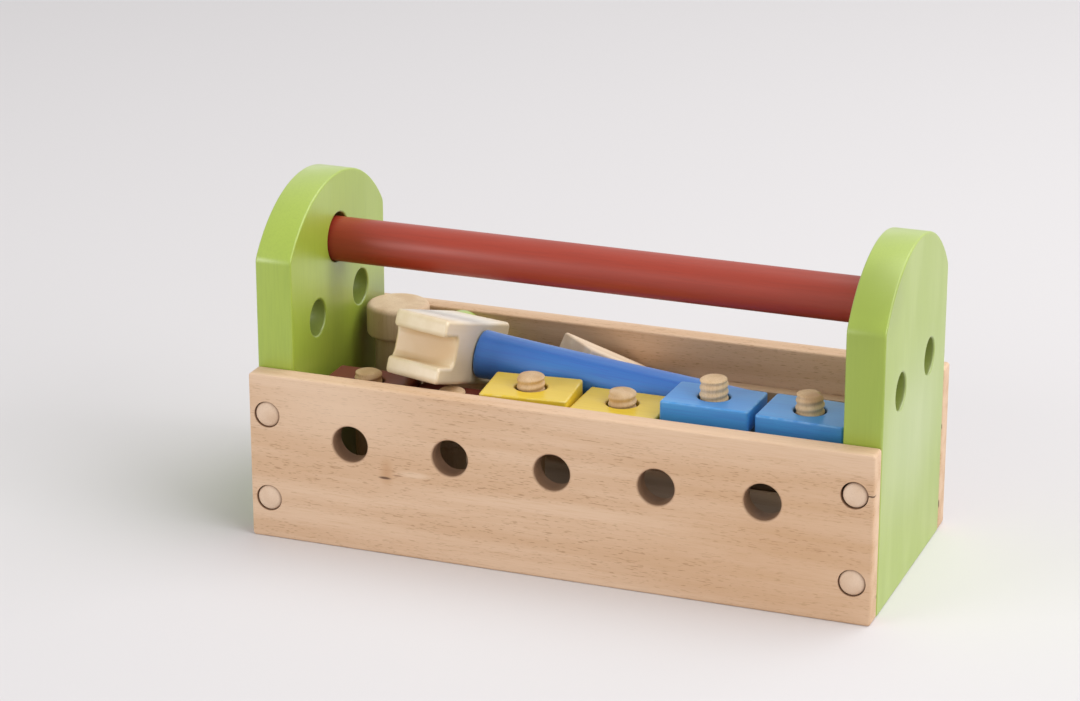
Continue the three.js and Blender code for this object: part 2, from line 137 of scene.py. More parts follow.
def linked(name: str, data: bpy.types.ID) -> bpy.types.Object:
    """Makes an object of its data and links it to the scene."""
    made = bpy.data.objects.new(name, data)
    bpy.context.scene.collection.objects.link(made)
    return made


# Finishes


class Fibre(Enum):
    """The way that the fibres of a piece run."""

    ALONG_X = (1.0, 0.0, 0.0)
    ALONG_Y = (0.0, 1.0, 0.0)
    ALONG_Z = (0.0, 0.0, 1.0)


@dataclass
class Ground:
    """What the patterns of a material are laid on."""

    tree: Tree
    fibre: Triple

    def __post_init__(self) -> None:
        """Adds the coordinates, turned so that X runs along the fibres too, and the rim attribute."""
        self.place = add_node(self.tree, "ShaderNodeTexCoord").outputs["Object"]
        turn = Vector(self.fibre).rotation_difference(Vector(Fibre.ALONG_X.value)).to_euler()
        inputs = {"Vector": self.place, "Rotation": turn}
        self.turned = add_node(self.tree, "ShaderNodeMapping", inputs).outputs[0]
        self.rim = add_node(self.tree, "ShaderNodeAttribute", attribute_name="rim").outputs["Fac"]


@dataclass(frozen=True)
class Mark:
    """A soft-edged oval on a piece, placed in millimetres: a stain, crack or pin mark, painted shade or
    painted light.
    """

    centre: Triple
    half: Triple
    colour: str
    strength: float
    core: float = 0.4  # share of the oval that has the full strength

    def mask(self, ground: Ground) -> Socket:
        """Adds the mark's share, which falls smoothly from its core to the edge of its oval.

        Args:
            ground: the material's ground.

        Returns:
            The share that the mark's colour takes.
        """
        scale = [1 / (h * MM) for h in self.half]
        shift = [-c / h for c, h in zip(self.centre, self.half)]
        inputs = {"Vector": ground.place, "Scale": scale, "Location": shift}
        oval = add_node(ground.tree, "ShaderNodeMapping", inputs).outputs[0]
        reach = add_node(ground.tree, "ShaderNodeVectorMath", {0: oval}, operation="LENGTH").outputs["Value"]
        fade = {"Value": reach, "From Min": self.core, "To Min": self.strength, "To Max": 0.0}
        return add_node(ground.tree, "ShaderNodeMapRange", fade, interpolation_type="SMOOTHSTEP").outputs[0]


@dataclass(frozen=True)
class Streaks:
    """A noise drawn out along the fibres, which shows smoothly from its low to its high value.

    Length and width are one streak's. The noise runs from about 0.3 to 0.7.
    """

    length: float
    width: float
    detail: float
    low: float
    high: float

    def noise(self, tree: Tree, turned: Socket) -> Socket:
        """Adds the noise.

        Args:
            tree: the material's tree.
            turned: coordinates with X along the fibres.

        Returns:
            The noise.
        """
        across = 1 / (self.width * MM)
        scale = (1 / (self.length * MM), across, across)
        drawn = add_node(tree, "ShaderNodeMapping", {"Vector": turned, "Scale": scale})
        inputs = {"Vector": drawn.outputs[0], "Scale": 1.0, "Detail": self.detail}
        return add_node(tree, "ShaderNodeTexNoise", inputs).outputs[0]

    def share(self, tree: Tree, noise: Socket, top: float = 1.0) -> Socket:
        """Stretches the noise into a smooth share.

        Args:
            tree: the material's tree.
            noise: the noise.
            top: the largest share.

        Returns:
            The share, from 0 to top.
        """
        inputs = {"Value": noise, "From Min": self.low, "From Max": self.high, "To Max": top}
        return add_node(tree, "ShaderNodeMapRange", inputs, interpolation_type="SMOOTHSTEP").outputs[0]


@dataclass(frozen=True)
class SandedWood:
    """Wood sanded smooth and left bare: matt, with faint bands, fine fibres and short dark flecks."""

    name: str
    light: str
    dark: str
    accent: str
    accent_share: float = 0.45
    bands: Streaks = Streaks(150, 9, 3, 0.35, 0.68)
    band_share: float = 0.6
    fibres: Streaks = Streaks(14, 0.5, 4, 0.42, 0.75)
    fibre_share: float = 0.35
    flecks: Streaks = Streaks(3.4, 0.42, 1, 0.6, 0.7)
    crowding: Streaks = Streaks(150, 9, 3, 0.3, 0.62)  # of the accents
    bored: str = "#84634A"  # cut end grain in a drilled hole, with painted shade in it too
    bored_share: float = 0.9
    roughness: float = 0.62
    coat: float = 0.0
    coat_roughness: float = 0.35
    bump: float = 0.35
    relief: float = 0.05  # height of the bump
    sink: float = 1.0  # how deep the accents lie in it

    @cache
    def material(self, fibre: Triple, marks: tuple[Mark, ...] = ()) -> bpy.types.Material:
        """Builds the finish with the fibres along a direction.

        Each layer of colour is mixed over the ones before it by its own share.

        Args:
            fibre: the direction of the fibres.
            marks: stains, cracks, painted shade and painted light of this one piece.

        Returns:
            The material.
        """
        material = bpy.data.materials.new(self.name)
        tree = empty_tree(material)
        ground = Ground(tree, fibre)
        band = self.bands.share(tree, self.bands.noise(tree, ground.turned), self.band_share)
        grain = self.fibres.noise(tree, ground.turned)
        crowd = self.crowding.share(tree, self.crowding.noise(tree, ground.place), self.accent_share)
        accents = {0: self.accents(ground), 1: crowd}
        accents = add_node(tree, "ShaderNodeMath", accents, operation="MULTIPLY").outputs[0]
        wall = {"Value": ground.rim, "From Max": -1.0, "To Max": self.bored_share}
        layers = [
            (band, self.dark),
            (self.fibres.share(tree, grain, self.fibre_share), self.dark),
            (accents, self.accent),
            *((mark.mask(ground), mark.colour) for mark in marks),
            (add_node(tree, "ShaderNodeMapRange", wall).outputs[0], self.bored),
        ]
        colour = linear(self.light)
        for share, tone in layers:
            over = {0: share, 6: colour, 7: linear(tone)}
            colour = add_node(tree, "ShaderNodeMix", over, data_type="RGBA").outputs[2]

        sunken = {0: accents, 1: -self.sink, 2: grain}
        height = add_node(tree, "ShaderNodeMath", sunken, operation="MULTIPLY_ADD").outputs[0]
        bump = {"Height": height, "Strength": self.bump, "Distance": self.relief * MM}
        surface = {
            "Base Color": colour,
            "Roughness": self.gloss(tree, band),
            "Normal": add_node(tree, "ShaderNodeBump", bump).outputs[0],
            "Coat Weight": self.coat,
            "Coat Roughness": self.coat_roughness,
        }
        shader = add_node(tree, "ShaderNodeBsdfPrincipled", surface)
        add_node(tree, "ShaderNodeOutputMaterial", {"Surface": shader.outputs[0]})
        return material

    def accents(self, ground: Ground) -> Socket:
        """Gives the flecks."""
        return self.flecks.share(ground.tree, self.flecks.noise(ground.tree, ground.turned))

    def gloss(self, tree: Tree, band: Socket) -> Socket | float:
        """Gives the same roughness all over."""
        return self.roughness


@dataclass(frozen=True)
class Lacquer(SandedWood):
    """A thin satin lacquer on sanded wood: the fibres show through, and rims are rubbed paler in patches."""

    accent_share: float = 0.5
    bands: Streaks = Streaks(60, 22, 2, 0.35, 0.65)
    band_share: float = 0.3
    fibres: Streaks = Streaks(18, 0.7, 4, 0.4, 0.72)
    fibre_share: float = 0.4
    crowding: Streaks = Streaks(5, 2.5, 3, 0.38, 0.62)
    # painted shade on the walls of the holes
    bored: str = "#4A4436"
    bored_share: float = 0.5
    roughness: float = 0.42
    coat: float = 0.6
    coat_roughness: float = 0.28
    bump: float = 0.3
    relief: float = 0.03
    sink: float = 0.0
    haze: tuple[float, float] = (-0.05, 0.06)  # what the bands take from the roughness and add to it

    def accents(self, ground: Ground) -> Socket:
        """Gives the rims."""
        return ground.rim

    def gloss(self, tree: Tree, band: Socket) -> Socket | float:
        """Gives a roughness that rises with the bands."""
        low, high = (self.roughness + change for change in self.haze)
        inputs = {"Value": band, "From Max": self.band_share, "To Min": low, "To Max": high}
        return add_node(tree, "ShaderNodeMapRange", inputs).outputs[0]


# Beech: warm pinkish brown, even, with many short dark rays
BEECH = SandedWood("sanded_beech", "#DDBD9F", "#C79F79", "#94693F", accent_share=0.5)
# Pale turned stock: light, with little figure
PALE_WOOD = SandedWood("sanded_pale_wood", "#DDC3A6", "#C4A27E", "#A07C58", accent_share=0.25)
# The plank's stock: paler still
LIGHT_WOOD = SandedWood("sanded_light_wood", "#EED9C0", "#D8B998", "#B08E6A", accent_share=0.2)
# The slat's stock: the same wood, darker all over
DULL_WOOD = SandedWood("sanded_dull_wood", "#C0A488", "#A88662", "#8A6846", accent_share=0.25)
# Dowel cut across: pale end grain
DOWEL = SandedWood("sanded_dowel", "#DFC4AB", "#CDAB8C", "#B08C68", accent_share=0.2)
# Bolt stock: a more golden wood
BOLT_WOOD = SandedWood("turned_bolt_wood", "#E0C29C", "#BC9461", "#94703F", accent_share=0.3)
# Maple under a clear coat: creamy, close grained, nearly without figure
CLEAR = {"accent_share": 0.12, "fibre_share": 0.2, "roughness": 0.48, "coat": 0.9}
MAPLE = SandedWood("clear_coated_maple", "#E3D0B1", "#D6BE95", "#C2A67E", **CLEAR)
# Lacquers brushed thin: satin, and the green hazed where it is seen at a low angle
HAZED = {"accent_share": 0.1, "coat": 0.85, "coat_roughness": 0.34}
DULL = {"roughness": 0.45, "coat": 0.06, "coat_roughness": 0.2}
GREEN = Lacquer("green_lacquer_on_wood", "#9FB43C", "#8FA534", "#B2C164", **HAZED)
RED = Lacquer("red_lacquer_on_wood", "#9E331D", "#882C1A", "#B4604E", **DULL)
# Painted shade: a darker copy of the red lacquer for the nuts
SHADED_NUT_RED = Lacquer("red_lacquer_with_painted_shade_on_nut", "#843A2A", "#6E2F22", "#A8604E", **DULL)
YELLOW = Lacquer("yellow_lacquer_on_wood", "#EACA34", "#DCB628", "#EFDF9C", coat=0.25, coat_roughness=0.12)
BLUE = Lacquer("blue_lacquer_on_wood", "#4499DA", "#4674C8", "#8CBAE2", coat=0.1, coat_roughness=0.12)
HANDLE_BLUE = Lacquer(
    "blue_lacquer_on_handle", "#3C84D4", "#3F60C4", "#8CBAE2", coat=0.15, coat_roughness=0.12
)
PAINTED_SHADE = "#3A302B"  # painted shade low in the box, which shows dark through the holes


# Surfaces


@dataclass
class Skin:
    """A closed surface: points in millimetres, faces as arrays of indices, and how much rim each point is."""

    points: np.ndarray
    faces: list[np.ndarray]
    rim: np.ndarray

    def placed(self, axes: np.ndarray | list, origin: np.ndarray | tuple) -> "Skin":
        """Gives the surface with its own x, y and z laid along three axes.

        Args:
            axes: three unit vectors, one in each row.
            origin: where the surface's own origin goes.

        Returns:
            The placed surface.
        """
        return Skin(self.points @ np.asarray(axes, float) + np.asarray(origin, float), self.faces, self.rim)


def joined(skins: list[Skin]) -> Skin:
    """Puts several surfaces into one.

    Args:
        skins: the surfaces.

    Returns:
        One surface that holds them all.
    """
    starts = np.cumsum([0] + [len(skin.points) for skin in skins])
    faces = [block + start for skin, start in zip(skins, starts) for block in skin.faces]
    return Skin(np.concatenate([s.points for s in skins]), faces, np.concatenate([s.rim for s in skins]))


@dataclass
class Path:
    """Points of an outline or profile, with its outward normals and how much rim each point is."""

    points: np.ndarray
    normals: np.ndarray
    rim: np.ndarray


def rounded_path(corners: list | tuple, radii: list | tuple | float, closed: bool = True) -> Path:
    """Rounds the corners of a polygon that runs anticlockwise, or of an open line.

    An arc takes each corner's place. Its centre is the corner less the radius times the sum of the
    two side normals over one plus their dot product, and its points are that centre plus the radius
    times a normal that turns from the one side's to the other's. A hollow corner has both signs
    changed. The rim share is a half sine wave along the arc.

    Args:
        corners: the corner points.
        radii: one radius for all corners, or one for each.
        closed: whether the last corner runs on to the first.

    Returns:
        The rounded outline or line.
    """
    knots = np.asarray(corners, float)
    radii = np.broadcast_to(np.asarray(radii, float), len(knots)).copy()
    sides = np.roll(knots, -1, axis=0) - knots
    sides /= np.linalg.norm(sides, axis=1)[:, None]
    if not closed:
        radii[[0, -1]] = 0
        sides[-1] = sides[-2]
    normals_out = np.stack([sides[:, 1], -sides[:, 0]], axis=1)
    normals_in = np.roll(normals_out, 1, axis=0)
    if not closed:
        normals_in[0] = normals_out[0]
    points, normals, rims = [], [], []
    for knot, radius, before, after in zip(knots, radii, normals_in, normals_out):
        mitre = (before + after) / (1 + before @ after)
        if radius == 0:
            points.append(knot[None])
            normals.append(mitre[None])
            rims.append(np.zeros(1))
            continue
        turn = math.atan2(before[0] * after[1] - before[1] * after[0], before @ after)
        step = 2 * math.acos(1 - min(1.0, ARC_ERROR / radius))
        share = np.linspace(0, 1, max(ARC_CHORDS, math.ceil(abs(turn) / step)) + 1)
        angles = math.atan2(before[1], before[0]) + share * turn
        spokes = np.stack([np.cos(angles), np.sin(angles)], axis=1)
        reach = math.copysign(radius, turn)
        points.append(knot - reach * mitre + reach * spokes)
        normals.append(spokes)
        rims.append(np.sin(math.pi * share))
    return Path(np.concatenate(points), np.concatenate(normals), np.concatenate(rims))


def ring_faces(rings: int, around: int) -> np.ndarray:
    """Numbers the quads between closed rings of points that follow each other.

    Args:
        rings: how many rings.
        around: how many points each has.

    Returns:
        Four point numbers for each quad.
    """
    ring, step = np.meshgrid(np.arange(rings - 1) * around, np.arange(around), indexing="ij")
    after = (step + 1) % around
    corners = [ring + step, ring + after, ring + around + after, ring + around + step]
    return np.stack(corners, axis=-1).reshape(-1, 4)


def cap_faces(loops: list[np.ndarray]) -> np.ndarray:
    """Fills the flat area inside closed loops with triangles, and leaves the loops inside it open.

    The points are joined into Delaunay triangles that keep the loops as edges, and a triangle stays
    where a ray from its middle crosses the loops an odd number of times.

    Args:
        loops: the points of each loop, in the plane.

    Returns:
        Three point numbers for each triangle, counted through all the loops.
    """
    points = np.concatenate(loops)
    starts = np.cumsum([0] + [len(loop) for loop in loops])
    numbers = [np.arange(start, end) for start, end in zip(starts, starts[1:])]
    edges = np.concatenate([np.stack([n, np.roll(n, -1)], axis=1) for n in numbers])
    found = delaunay_2d_cdt([Vector(point) for point in points], edges.tolist(), [], 0, 1e-6)
    origin = np.array([old[0] for old in found[3]])
    triangles = origin[np.array(found[2])]
    x, y = points[triangles].mean(axis=1).T[:, :, None]
    (x0, y0), (x1, y1) = points[edges[:, 0]].T, points[edges[:, 1]].T
    crossing = x0 + (y - y0) * (x1 - x0) / np.where(y0 == y1, 1.0, y1 - y0)
    inside = (((y0 > y) != (y1 > y)) & (crossing > x)).sum(axis=1) % 2 == 1
    return triangles[inside]


def rectangle(width: float, height: float, x: float = 0.0, y: float = 0.0) -> tuple[tuple[float, float], ...]:
    """Gives the corners of a rectangle round a middle point, anticlockwise."""
    return tuple((x + i * width / 2, y + j * height / 2) for i, j in ((-1, -1), (1, -1), (1, 1), (-1, 1)))


@dataclass(frozen=True)
class Hole:
    """A round hole in a plate: right through it, or as deep as told from the upper face."""

    x: float
    y: float
    radius: float
    depth: float = 0.0
    rim: float = 0.8

    def loop(self) -> Path:
        """Gives the hole's circle, a square with its corners fully rounded, with normals to the middle."""
        circle = rounded_path(rectangle(2 * self.radius, 2 * self.radius, self.x, self.y), self.radius)
        return Path(circle.points, -circle.normals, circle.rim)


@dataclass(frozen=True)
class Plate:
    """A flat piece cut from an outline, with round holes and eased rims."""

    corners: tuple[tuple[float, float], ...]
    radii: tuple[float, ...] | float
    thickness: float
    rim: float
    holes: tuple[Hole, ...] = ()
    band: float = 0.3  # flat strip beside each rim that keeps the face's shading flat

    def section(self, hole: Hole | None) -> np.ndarray:
        """Works out the section that is carried along a loop.

        It steps onto the face's edge strip, turns down a quarter circle into the wall, and turns
        again at the lower face. In a blind hole it runs down the wall and in to the middle instead.
        The rim share is negative in a hole, down to -1 on its wall.

        Args:
            hole: the hole that the loop bounds, or None for the outline.

        Returns:
            Three rows: the inset from the loop, the height and the rim share of each point.
        """
        easing = hole.rim if hole else self.rim
        top = self.thickness / 2
        angle = np.linspace(0, math.pi / 2, EASING_POINTS)
        share = -angle / angle[-1] if hole else np.sin(2 * angle)
        turn = np.stack([easing * (1 - np.sin(angle)), top - easing * (1 - np.cos(angle)), share])
        upper = np.column_stack([[easing + self.band, top, 0.0], turn])
        if hole and hole.depth:
            floor = top - hole.depth
            return np.column_stack([upper, [0.0, floor, -1.0], [-hole.radius, floor, -1.0]])
        return np.concatenate([upper, upper[:, ::-1] * [[1], [-1], [1]]], axis=1)

    def skin(self) -> Skin:
        """Carries the section round the outline and each hole, and fills both faces.

        Returns:
            The plate's surface, with its middle height at zero.
        """
        walls, upper, lower = [], [], []
        outline = rounded_path(self.corners, self.radii)
        for path, hole in [(outline, None), *((hole.loop(), hole) for hole in self.holes)]:
            inset, height, rim = self.section(hole)
            flat = path.points[None] - inset[:, None, None] * path.normals[None]
            heights = np.broadcast_to(height[:, None, None], (*flat.shape[:2], 1))
            points = np.concatenate([flat, heights], axis=2).reshape(-1, 3)
            around = len(path.points)
            walls.append(Skin(points, [ring_faces(len(inset), around)], np.repeat(rim, around)))
            upper.append(flat[0])
            if not (hole and hole.depth):
                lower.append(flat[-1])
        return joined([*walls, self.face(upper, self.thickness / 2), self.face(lower, -self.thickness / 2)])

    @staticmethod
    def face(loops: list[np.ndarray], height: float) -> Skin:
        """Fills a face between its loops.

        Args:
            loops: the face's outline and the edges of its holes.
            height: the height of the face.

        Returns:
            The face.
        """
        flat = np.concatenate(loops)
        points = np.column_stack([flat, np.full(len(flat), height)])
        return Skin(points, [cap_faces(loops)], np.zeros(len(flat)))


def turned_skin(profile: Path, around: int = 96) -> Skin:
    """Turns a profile round the z axis: a ring of points for each of its points.

    Args:
        profile: the radius and the height of its points.
        around: how many points a ring has.

    Returns:
        The turned surface.
    """
    angle = np.linspace(0, 2 * math.pi, around, endpoint=False)
    radius, height = profile.points[:, :1], profile.points[:, 1:]
    rings = np.stack([radius * np.cos(angle), radius * np.sin(angle), height + 0 * angle], axis=2)
    return Skin(rings.reshape(-1, 3), [ring_faces(len(radius), around)], np.repeat(profile.rim, around))


def rod(radius: float, start: float, end: float, easing: float = 0.0, around: int = 36) -> Skin:
    """Makes a round rod along the z axis.

    Args:
        radius: its radius.
        start: the height of its lower end.
        end: the height of its upper end.
        easing: radius of its rims.
        around: how many points a ring has.

    Returns:
        The rod's surface.
    """
    corners = [(0, start), (radius, start), (radius, end), (0, end)]
    return turned_skin(rounded_path(corners, easing, closed=False), around)


def mesh_of(name: str, skin: Skin) -> bpy.types.Mesh:
    """Puts a surface into a mesh: doubles merged and faces turned outwards.

    Args:
        name: the mesh's name.
        skin: the surface, in millimetres.

    Returns:
        The mesh, in metres.
    """
    mesh = bpy.data.meshes.new(name)
    faces = [face for block in skin.faces for face in block.tolist()]
    mesh.from_pydata((skin.points * MM).tolist(), [], faces)
    mesh.attributes.new("rim", "FLOAT", "POINT").data.foreach_set("value", skin.rim.astype(np.float32))
    work = bmesh.new()
    work.from_mesh(mesh)
    bmesh.ops.remove_doubles(work, verts=work.verts, dist=WELD * MM)
    bmesh.ops.recalc_face_normals(work, faces=work.faces)
    work.to_mesh(mesh)
    work.free()
    return mesh


def cut_away(piece: bpy.types.Object, cutters: list[Skin]) -> None:
    """Cuts closed surfaces out of a piece and keeps the result in its mesh.

    Args:
        piece: the piece to cut.
        cutters: surfaces that don't touch each other.
    """
    tool = linked("cutter", mesh_of("cutter", joined(cutters)))
    modifier = piece.modifiers.new("cut", "BOOLEAN")
    modifier.operation = "DIFFERENCE"
    modifier.solver = "EXACT"
    modifier.object = tool
    ready = piece.evaluated_get(bpy.context.evaluated_depsgraph_get())
    piece.data = bpy.data.meshes.new_from_object(ready)
    piece.modifiers.clear()
    bpy.data.objects.remove(tool)


@dataclass(frozen=True)
class Extent:
    """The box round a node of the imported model, in millimetres."""

    low: np.ndarray
    high: np.ndarray

    @classmethod
    def of(cls, node: str) -> "Extent":
        """Reads a node's box from the frame."""
        return cls(*(np.array(corner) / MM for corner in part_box(node)))

    @property
    def middle(self) -> np.ndarray:
        """Gives the middle of the box."""
        return (self.low + self.high) / 2

    @property
    def size(self) -> np.ndarray:
        """Gives the three sizes of the box."""
        return self.high - self.low


def add_piece(
    node: str, skin: Skin, material: bpy.types.Material, cutters: list[Skin] | None = None
) -> bpy.types.Object:
    """Makes the piece that stands for a node, on the node's body and with its finish.

    Args:
        node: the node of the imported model.
        skin: the piece's surface.
        material: the piece's finish.
        cutters: surfaces to cut out of it.

    Returns:
        The piece.
    """
    piece = linked(f"finished_{node}", mesh_of(node, skin))
    if cutters:
        cut_away(piece, cutters)
    piece.data.shade_smooth()
    piece.data.set_sharp_from_angle(angle=SHARP_ANGLE)
    piece.data.materials.clear()
    piece.data.materials.append(material)
    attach(piece, frame["nodes"][node]["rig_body"])
    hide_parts(node)
    LOG.info("%s: %d faces", piece.name, len(piece.data.polygons))
    return piece


# Sub-assemblies


@dataclass
class PeggedBox:
    """The box: front and back boards, end panels, bottom board and the dowel pegs that join them."""

    easing: float = 0.8  # sanded rims
    corner: float = 1.3  # rounded upright corners of the boards
    hole_radius: float = 7.5
    hole_height: float = 45.0
    hole_pitch: float = 43.0
    hole_count: int = 5
    panel_hole_height: float = 84.0
    panel_hole_offset: float = 21.5
    crease_height: float = 115.0  # where the panels' straight sides end and the arch starts
    crease_round: float = 5.0
    arch_rounds: int = 12  # after which the arch no longer changes
    socket_radius: float = 10.25
    socket_depth: float = 10.0
    bar_gap: float = 0.3  # under the bar in its socket
    peg_play: float = 0.24
    peg_hole_rim: float = 0.2
    peg_hole_overrun: float = 2.0  # of its cutter beyond the panel
    peg_dome: float = 1.2
    peg_dome_points: int = 9
    peg_rim: float = 0.5
    peg_wall_drop: float = 0.4  # from the dome's foot to the corner of the wall
    peg_chamfer: float = 1.0  # at the inner end
    loose_peg: str = "front_peg_upper_right"  # a little thinner, and off the middle of its hole
    loose_play: float = 0.3
    front_marks: tuple[Mark, ...] = (
        Mark((-92, -56, 60), (60, 6, 24), "#E8CDB2", 0.55, 0.0),  # painted light on the upper left of the board, and painted shade on its lower right
        Mark((98, -56, 25), (90, 6, 60), "#BE8C58", 0.3, 0.0),
        Mark((-70.2, -56, 35.2), (4.2, 4, 9.0), "#B9885C", 0.55, 0.0),  # knot
        Mark((-58.5, -56, 35.8), (10.0, 4, 2.0), "#EBD0B4", 0.5, 0.2),
        Mark((-71.0, -56, 32.9), (3.6, 4, 0.75), "#54341E", 0.9, 0.35),
        Mark((-65.5, -56, 34.6), (3.0, 4, 0.4), "#8A5F3E", 0.7, 0.3),
        Mark((128.7, -56, 53.5), (3.4, 4, 0.4), "#3F2412", 0.95, 0.5),  # crack beside the loose peg
        Mark((130, -48.3, 9.5), (2, 0.55, 1.1), "#4A3220", 0.9, 0.5),  # pin mark
        # painted shade on the board's inner face, low in the box
        Mark((0, -46.8, 32), (118, 1.4, 32), PAINTED_SHADE, 0.7, 0.7),
    )
    back_marks: tuple[Mark, ...] = (  # pin marks
        Mark((130, 47.4, 11.3), (2, 0.5, 2.2), "#4A3220", 0.8, 0.4),
        Mark((130, 47.2, 45.0), (2, 0.5, 1.6), "#4A3220", 0.7, 0.4),
    )
    left_marks: tuple[Mark, ...] = (  # painted shade low in the box, and a painted shadow behind the post
        Mark((-114.4, 0, 20), (1.8, 62, 32), PAINTED_SHADE, 0.82, 0.75),
        Mark((-114.4, 38, 58), (1.8, 32, 38), "#4A4A34", 0.6, 0.15),
    )
    right_marks: tuple[Mark, ...] = (  # painted sheen on the outer face, and painted shade on the front edge and the front of the arch
        Mark((129.8, 0, 62), (2, 66, 44), "#D6DDC6", 0.25, 0.1),
        Mark((122, -46.7, 104), (14, 4, 56), "#86982A", 0.42, 0.3),
        Mark((122, -36, 128), (16, 24, 26), "#86982A", 0.75, 0.3),
    )
    bottom_half: Triple = (150, 62, 9)  # of the painted shade on the bottom board

    def build(self) -> None:
        """Makes and dresses the whole box."""
        self.build_board("front_board", self.front_marks)
        self.build_board("back_board", self.back_marks)
        self.build_panel("left", 1, self.left_marks)
        self.build_panel("right", -1, self.right_marks)
        self.build_bottom()
        for wall, level, end in product(WALLS, LEVELS, ENDS):
            self.build_peg(f"{wall}_peg_{level}_{end}", WALLS[wall])

    def build_board(self, node: str, marks: tuple[Mark, ...]) -> None:
        """Makes a wall board with its row of holes and its peg holes.

        Args:
            node: the board's node.
            marks: knots, cracks, pin marks, and painted light and shade of this board.
        """
        board = Extent.of(node)
        length, depth, height = board.size
        places = (np.arange(self.hole_count) - (self.hole_count - 1) / 2) * self.hole_pitch
        holes = [Hole(x, self.hole_height - board.middle[2], self.hole_radius) for x in places]
        for end, level in product(ENDS, LEVELS):
            peg = Extent.of(f"front_peg_{level}_{end}")
            x, z = peg.middle[0], peg.middle[2] - board.middle[2]
            holes.append(Hole(x, z, peg.size[0] / 2 + self.peg_play, rim=self.peg_hole_rim))
        plate = Plate(rectangle(length, height), self.corner, depth, self.easing, tuple(holes))
        wood = BEECH.material(Fibre.ALONG_X.value, marks)
        add_piece(node, plate.skin().placed([X, Z, -Y], board.middle), wood)

    def arch_corner(self, half: float, top: float) -> tuple[float, float]:
        """Works out the corner whose rounding is the arch, tangent to the slanting shoulders.

        It starts as the circle through both creases and the top. As a rounded corner, it belongs to
        the apex where its tangents at the creases meet. A few rounds then shorten it by the length
        that the rounded creases take, and settle the slope that keeps the top where it is.

        Args:
            half: half the panel's width.
            top: the height of the arch.

        Returns:
            The height of the corner and the radius of its rounding.
        """
        rise = top - self.crease_height
        lean = math.asin(2 * rise * half / (half**2 + rise**2))
        for _ in range(self.arch_rounds):
            taken = self.crease_round * math.tan(math.pi / 4 - lean / 2) + self.easing / 2
            bend = (half / math.cos(lean) - taken) / math.tan(lean)
            apex = top + bend * (1 / math.cos(lean) - 1)
            lean = math.atan2(apex - self.crease_height, half)
        return apex, bend

    def peg_cutters(self, end: str, half: float) -> list[Skin]:
        """Makes the cutters for the blind holes that take the pegs of one end.

        Args:
            end: left or right.
            half: half the panel's width.

        Returns:
            Four round rods.
        """
        cutters = []
        for wall, level in product(WALLS, LEVELS):
            peg = Extent.of(f"{wall}_peg_{level}_{end}")
            inner = min(abs(peg.low[1]), abs(peg.high[1])) - self.peg_play
            cutter = rod(peg.size[0] / 2 + self.peg_play, inner, half + self.peg_hole_overrun)
            cutters.append(cutter.placed([X, Z, WALLS[wall] * Y], peg.middle * (X + Z)))
        return cutters

    def build_panel(self, end: str, inward: int, marks: tuple[Mark, ...]) -> None:
        """Makes an end panel: straight sides and an arch, two holes and a blind socket for the bar.

        Args:
            end: left or right.
            inward: 1 where the panel's inner face looks along +X, -1 where it looks along -X.
            marks: the painted shade and painted sheen of this panel.
        """
        node = f"{end}_end_panel"
        panel = Extent.of(node)
        thickness, width, top = panel.size
        half, crease = width / 2, self.crease_height
        apex, bend = self.arch_corner(half, top)
        corners = ((-half, 0), (half, 0), (half, crease), (0, apex), (-half, crease))
        radii = (self.corner, self.corner, self.crease_round, bend, self.crease_round)
        sides = (-self.panel_hole_offset, self.panel_hole_offset)
        holes = [Hole(x, self.panel_hole_height, self.hole_radius) for x in sides]
        socket_height = Extent.of("carrying_bar").low[2] - self.bar_gap + self.socket_radius
        holes.append(Hole(0.0, socket_height, self.socket_radius, self.socket_depth))
        plate = Plate(corners, radii, thickness, self.easing, tuple(holes))
        skin = plate.skin().placed([inward * Y, Z, inward * X], panel.middle * X)
        add_piece(node, skin, GREEN.material(Fibre.ALONG_Z.value, marks), self.peg_cutters(end, half))

    def build_bottom(self) -> None:
        """Makes the bottom board between the walls."""
        bottom = Extent.of("bottom_board")
        length, depth, thickness = bottom.size
        plate = Plate(rectangle(length, depth), self.corner, thickness, self.easing)
        # painted shade over the bottom board
        shade = Mark((0, 0, bottom.middle[2]), self.bottom_half, PAINTED_SHADE, 0.75, 0.75)
        wood = BEECH.material(Fibre.ALONG_X.value, (shade,))
        add_piece("bottom_board", plate.skin().placed([X, Y, Z], bottom.middle), wood)

    def build_peg(self, node: str, side: int) -> None:
        """Makes a dowel peg with a domed outer end.

        The dome is a shallow arc from the peg's wall to its axis, laid out as a parabola of the radius.

        Args:
            node: the peg's node.
            side: -1 at the front board, 1 at the back board.
        """
        peg = Extent.of(node)
        radius, length = peg.size[0] / 2, peg.size[1]
        middle = peg.middle
        if node == self.loose_peg:
            radius -= self.loose_play
            middle = middle + self.loose_play * (X - Z) / 2
        out = np.linspace(0, radius - self.peg_rim, self.peg_dome_points)
        dome = np.column_stack([out, self.peg_dome * (out / radius) ** 2])
        corners = [
            dome[-1],
            (radius, self.peg_dome + self.peg_wall_drop),
            (radius, length - self.peg_chamfer),
            (radius - self.peg_chamfer, length),
            (0, length),
        ]
        radii = [0, self.peg_rim, self.peg_wall_drop, self.peg_wall_drop, 0]
        wall = rounded_path(corners, radii, closed=False)
        points = np.concatenate([dome, wall.points[1:]])
        outer = peg.low[1] if side < 0 else peg.high[1]
        skin = turned_skin(Path(points, points, np.zeros(len(points))), 48)
        skin = skin.placed([X, Z, -side * Y], (middle[0], outer, middle[2]))
        add_piece(node, skin, DOWEL.material(Fibre.ALONG_Y.value))


